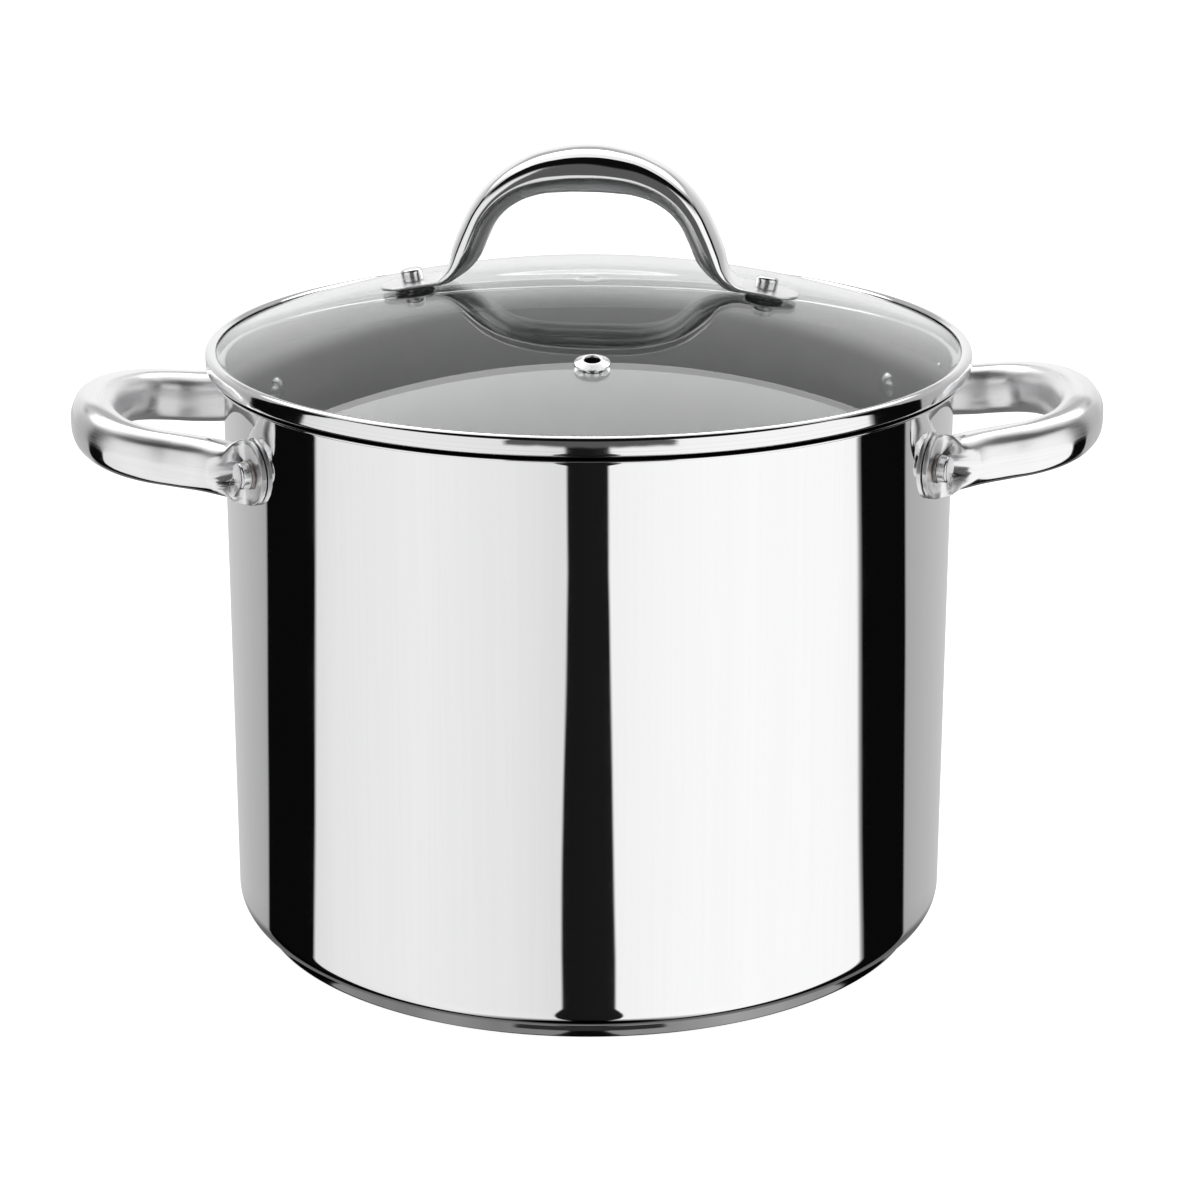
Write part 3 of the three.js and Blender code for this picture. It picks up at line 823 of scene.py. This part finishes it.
plate_lift = PAD_SEAT + PAD_THICK + PLATE_GAP + PLATE_HALF_THICK
arch_half = [(reach, dome_top(reach) + plate_lift) for reach in (69, 64, RIVET_REACH, 53)] + [
    (47.6, 220.2), (43.4, 224), (40.2, 229.4), (37.4, 236),
    (33.6, 243.2), (27, 250), (18, 254.7), (9, 256.6),
]
arch_guide = bend_line(
    [(-x, 0, z) for x, z in arch_half] + [(0, 0, ARCH_TOP)] + [(x, 0, z) for x, z in arch_half[::-1]])
arch_length = arch_guide.data.splines[0].calc_length()


def arch_section(from_end):
    """Half the tube's depth across the lid, and half its thickness, thicker towards the crown."""
    return ARCH_HALF_DEEP, mix(LEG_HALF_THICK, ARCH_HALF_THICK, smoothstep(*LEG_TO_CROWN, from_end))


arch = straight_tube("arched_grip", arch_length, 190)
press_tube(
    arch, arch_length, (PLATE_HALF_DEEP, PLATE_HALF_THICK), arch_section,
    PLATE_TO_LEG, squareness=(7, 2.4, 0.5), rounded=0)
bend_tube(arch, arch_guide)
close_ends(arch)
arch.data.transform(lid_turn)
arch.data.materials.append(polished_tube(
    "lid_handle_polish", arch_length / MM, foot_length=20, satin_side=(0, -0.085, -0.092)))
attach(arch, "lid")
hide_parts("lid_handle")


# ---------- stacks at the lid handle's feet ----------
# At each foot, from the top down: a satin button rivet, the foot, a dark silicone pad, the glass,
# a silicone seal, a steel washer, and the rivet's closed tail, listed as radius and depth.
LID_HEAD = 3.7
LID_HEAD_HEIGHT = 3.8
LID_HEAD_ROUND = 1.1
LID_SHANK = 2.2
LID_TAIL = ((0, 1.9), (1.0, 1.88), (2.2, 1.55), (3.1, 0.9), (LID_HEAD, 0.1), (LID_HEAD - 0.1, 0))
PAD_RADIUS = 6.6
SEAL_RADIUS = 6.2
SEAL_THICK = 1.1
UNDER_RADIUS = 6.6
UNDER_THICK = 0.9

button_low = plate_lift + PLATE_HALF_THICK
button_top = button_low + 0.3 + LID_HEAD_HEIGHT
seal_low = -GLASS_THICK - SEAL_THICK
under_low = seal_low - UNDER_THICK
button = turn_on_lathe("button_rivet", [
    *[(radius, under_low - depth) for radius, depth in LID_TAIL],
    (LID_SHANK, under_low),
    (LID_SHANK, button_low),
    (LID_HEAD - 0.3, button_low),
    (LID_HEAD, button_low + 0.3),
    (LID_HEAD, button_top - 1.5),
    *arc(LID_HEAD - LID_HEAD_ROUND, button_top - LID_HEAD_ROUND, LID_HEAD_ROUND, 10, 90, 7),
    (1.6, button_top),
    (0, button_top),
], sides=48)


def disc_with_hole(name, radius, bottom, top, edge):
    """A flat ring round the rivet's shank, with its outer edges rounded."""
    bore = LID_SHANK + 0.05
    return turn_on_lathe(name, [
        (bore, bottom),
        (radius - edge, bottom),
        *arc(radius - edge, bottom + edge, edge, -90, 0, 4),
        *arc(radius - edge, top - edge, edge, 0, 90, 4),
        (bore, top),
        (bore, bottom),
    ], sides=64)


pad = disc_with_hole("silicone_pad", PAD_RADIUS, 0.02, plate_lift - PLATE_HALF_THICK, 0.3)
seal = disc_with_hole("silicone_seal", SEAL_RADIUS, seal_low, -GLASS_THICK, 0.3)
under = disc_with_hole("under_washer", UNDER_RADIUS, under_low, seal_low - 0.02, 0.25)
silicone = new_finish("grey_silicone", metallic=0.0)
silicone_grain = noise(silicone, object_place(silicone), 1800, 5)
connect(
    silicone,
    Base_Color=shade_of(silicone, silicone_grain, (0.1, 0.1, 0.105), (0.17, 0.17, 0.175)),
    Roughness=spread(silicone, silicone_grain, 0.5, 0.7),
    Normal=relief(silicone, silicone_grain, 0.4, 0.00003),
)
stack = (
    (button, "lid_rivet_", rivet_satin, "satin_steel"),
    (pad, "lid_pad_", silicone, "silicone"),
    (seal, "lid_under_seal_", silicone, "silicone"),
    (under, "lid_under_washer_", rivet_satin, "satin_steel"),
)
for part, node, finish, finish_slot in stack:
    part.data.materials.append(finish)
    for side, angle in (("right", 0), ("left", 180)):
        placed = copy_piece(part, part.name + "_" + side)
        placed.data.transform(on_dome(RIVET_REACH, angle))
        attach(placed, "lid")
        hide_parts(node + side)
    bpy.data.objects.remove(part)


# ---------- studio ----------
# A plain pale floor in a white room, and a round light wall that goes on as a bowl below the pot,
# with dark gaps for the steel to mirror. Azimuths are in degrees, 0 towards the front and 90 towards
# the right; lengths are in metres, and in millimetres in the turned wall's profile.
WALL_PROFILE = [(5, -2295), (800, -1500), (1600, -700), (1600, 0), (1600, 1300)]
WALL_STOPS = [
    (-180, 0.66), (-150, 0.56), (-125, 0.43), (-122.2, 0.4),
    (-121.6, 0.003), (-95.3, 0.003),
    (-94.7, 0.78), (-85, 0.84), (-55, 0.9), (-25, 0.84), (-10, 0.77),
    (4.9, 0.955), (20, 0.99), (50, 1.03), (80, 1.02), (89.6, 0.98),
    (90.2, 0.003), (114.4, 0.003),
    (115.0, 0.4), (118, 0.43), (150, 0.56), (180, 0.66),
]
BRIGHTEST = 1.1
GAP_AZIMUTH = -2.3
GAP_GLOW = 0.011
CARD_AZIMUTH = -1.5
CARD_GLOW = 0.1
BACKDROP_GLOW = 0.97
BACKDROP_TOP_GLOW = 0.47
FLOOR_SIZE = 14
FLOOR_DROP = 0.0002
FLOOR_GLOW = 0.9
ROOM_GLOW = 1.0
ROOM_MIRRORED = 0.004


def glowing(name):
    """A material with nothing in it yet, for a surface that only gives light."""
    material = bpy.data.materials.new(name)
    material.use_nodes = True
    material.node_tree.nodes.remove(surface_of(material))
    return material


def finish_glow(material, shader):
    output = material.node_tree.nodes["Material Output"]
    material.node_tree.links.new(shader.outputs[0], output.inputs["Surface"])


def light_panel(name, corner, across, up, material):
    """A flat glowing panel with one corner and two sides, in metres, that the camera looks past."""
    bpy.ops.object.select_all(action="DESELECT")
    bpy.ops.mesh.primitive_plane_add(size=1)
    panel = bpy.context.object
    panel.name = name
    corner, across, up = Vector(corner), Vector(across), Vector(up)
    for vertex in panel.data.vertices:
        vertex.co = corner + across * (vertex.co.x + 0.5) + up * (vertex.co.y + 0.5)
    panel.data.materials.append(material)
    panel.visible_camera = False


light_wall = turn_on_lathe("light_wall", WALL_PROFILE, sides=180)
glow = glowing("light_wall_glow")
glow_place = add_node(glow, "SeparateXYZ", {"Vector": object_place(glow)}).outputs
height = glow_place["Z"]
to_front = maths(glow, "MULTIPLY", glow_place["Y"], -1.0)
azimuth = maths(glow, "MULTIPLY", maths(glow, "ARCTAN2", glow_place["X"], to_front), math.degrees(1))
from_front = maths(glow, "ABSOLUTE", azimuth)
leaned = maths(glow, "MULTIPLY", azimuth, between(glow, height, -1.0, 0.5, 0.9, 1.17))
glow_ramp = add_node(glow, "ValToRGB", {"Fac": between(glow, leaned, -180, 180)})
for spot, (stop_azimuth, level) in enumerate(WALL_STOPS):
    place_on_ramp = (stop_azimuth + 180) / 360
    if spot < 2:
        stop = glow_ramp.color_ramp.elements[spot]
        stop.position = place_on_ramp
    else:
        stop = glow_ramp.color_ramp.elements.new(place_on_ramp)
    stop.color = (level / BRIGHTEST, level / BRIGHTEST, level / BRIGHTEST, 1)
shine = maths(glow, "MULTIPLY", glow_ramp.outputs["Color"], BRIGHTEST)

# The two fronts leave a dark gap between them that widens downwards, first on the wall and then
# in the bowl.
from_gap = maths(glow, "ABSOLUTE", maths(glow, "SUBTRACT", azimuth, GAP_AZIMUTH))
gap_on_wall = between(glow, height, -0.29, -0.62, 6.0, 8.2)
gap_in_bowl = between(glow, height, -0.7, -1.6, 0.0, 8.0)
gap_edge = maths(glow, "SUBTRACT", from_gap, maths(glow, "ADD", gap_on_wall, gap_in_bowl))
shine = maths(glow, "MULTIPLY", shine, between(glow, gap_edge, -0.4, 0.4, GAP_GLOW, 1.0))

# A dark card hangs in front above the floor's level, and the backdrop is brighter above it.
from_card = maths(glow, "ABSOLUTE", maths(glow, "SUBTRACT", azimuth, CARD_AZIMUTH))
card_across = between(glow, from_card, 23, 24.5, 1.0, 0.0)
card = maths(glow, "MULTIPLY", card_across, between(glow, height, -0.2, -0.15))
shine = blend(glow, card, shine, CARD_GLOW)
backdrop_across = between(glow, from_front, 130, 165)
backdrop = maths(glow, "MULTIPLY", backdrop_across, between(glow, height, -0.08, 0.1))
backdrop_glow = between(glow, height, 0.75, 0.95, BACKDROP_GLOW, BACKDROP_TOP_GLOW)
shine = blend(glow, backdrop, shine, backdrop_glow)

# Low down the light fades: at the back by most of it, and right out at the bottom of the bowl.
behind = between(glow, from_front, 116, 125)
behind_low = maths(glow, "MULTIPLY", behind, between(glow, height, -0.64, -0.8))
kept_light = maths(glow, "SUBTRACT", 1.0, maths(glow, "MULTIPLY", behind_low, 0.7))
shine = maths(glow, "MULTIPLY", shine, kept_light)
shine = maths(glow, "MULTIPLY", shine, between(glow, height, -1.95, -1.6))

# The wall's top is open except behind, where the backdrop runs on up to the softbox.
below_top = between(glow, height, 1.22, 0.92)
closed = maths(glow, "MAXIMUM", below_top, between(glow, from_front, 130, 150))
faded = add_node(glow, "MixShader", {0: closed})
see_through = add_node(glow, "BsdfTransparent")
wall_light = add_node(glow, "Emission", {"Strength": shine})
glow.node_tree.links.new(see_through.outputs[0], faded.inputs[1])
glow.node_tree.links.new(wall_light.outputs[0], faded.inputs[2])
finish_glow(glow, faded)
light_wall.data.materials.append(glow)
light_wall.visible_camera = False
top_glow = glowing("backdrop_top")
finish_glow(top_glow, add_node(top_glow, "Emission", {"Strength": BACKDROP_TOP_GLOW}))
light_panel("backdrop_top", (-2.3, 1.42, 1.5), (4.6, 0, 0), (0, 0.18, -0.2), top_glow)

# The softbox overhead is brightest towards the back and falls off to both sides.
over_glow = glowing("softbox_over")
over_place = add_node(over_glow, "SeparateXYZ", {"Vector": object_place(over_glow)}).outputs
over_shine = between(over_glow, over_place["Y"], 0.45, 0.75, 1.1, 3.1)
over_side = between(over_glow, over_place["X"], -1.0, 1.0, 1.0, 0.75)
over_edge = between(over_glow, maths(over_glow, "ABSOLUTE", over_place["X"]), 1.0, 1.8, 1.0, 0.28)
over_shine = maths(over_glow, "MULTIPLY", over_shine, over_side)
over_shine = maths(over_glow, "MULTIPLY", over_shine, over_edge)
finish_glow(over_glow, add_node(over_glow, "Emission", {"Strength": over_shine}))
light_panel("softbox_over", (-2.3, -0.15, 1.5), (4.6, 0, 0), (0, 1.57, 0), over_glow)

bpy.ops.object.select_all(action="DESELECT")
bpy.ops.mesh.primitive_plane_add(size=FLOOR_SIZE, location=(0, 0, -FLOOR_DROP))
floor = bpy.context.object
floor.name = "studio_floor"
floor_paint = new_finish("floor_white", metallic=0.0)
floor_grain = noise(floor_paint, object_place(floor_paint), 6, 4)
surface_of(floor_paint).inputs["Emission Color"].default_value = (1, 1, 1, 1)
surface_of(floor_paint).inputs["Emission Strength"].default_value = FLOOR_GLOW
connect(
    floor_paint,
    Base_Color=shade_of(floor_paint, floor_grain, (0.4, 0.4, 0.4), (0.42, 0.42, 0.42)),
    Roughness=spread(floor_paint, floor_grain, 0.6, 0.7),
)
floor.data.materials.append(floor_paint)
floor.visible_glossy = False
floor.visible_shadow = False

# The room is white to everything but mirror rays, which find it nearly dark.
room = bpy.data.worlds.new("white_room")
bpy.context.scene.world = room
room.use_nodes = True
sky = room.node_tree.nodes["Background"]
mirrored = add_node(room, "LightPath").outputs["Is Glossy Ray"]
room_light = between(room, mirrored, 0.0, 1.0, ROOM_GLOW, ROOM_MIRRORED)
room.node_tree.links.new(room_light, sky.inputs["Strength"])
sky.inputs["Color"].default_value = (1, 1, 1, 1)
bpy.context.scene.view_settings.view_transform = "Standard"

CAMERA_DISTANCE = 1.1118
CAMERA_ELEVATION = 17.645
CAMERA_AZIMUTH = -2.0
CAMERA_AIM = (0.0003, 0, 0.1131)
turn, tilt = math.radians(CAMERA_AZIMUTH), math.radians(CAMERA_ELEVATION)
back = Vector((math.sin(turn) * math.cos(tilt), -math.cos(turn) * math.cos(tilt), math.sin(tilt)))
lens = bpy.data.cameras.new("studio_camera")
lens.lens = 100.08
lens.sensor_width = 36
camera = bpy.data.objects.new("studio_camera", lens)
camera.location = Vector(CAMERA_AIM) + back * CAMERA_DISTANCE
camera.rotation_euler = (-back).to_track_quat("-Z", "Y").to_euler()
bpy.context.collection.objects.link(camera)
bpy.context.scene.camera = camera
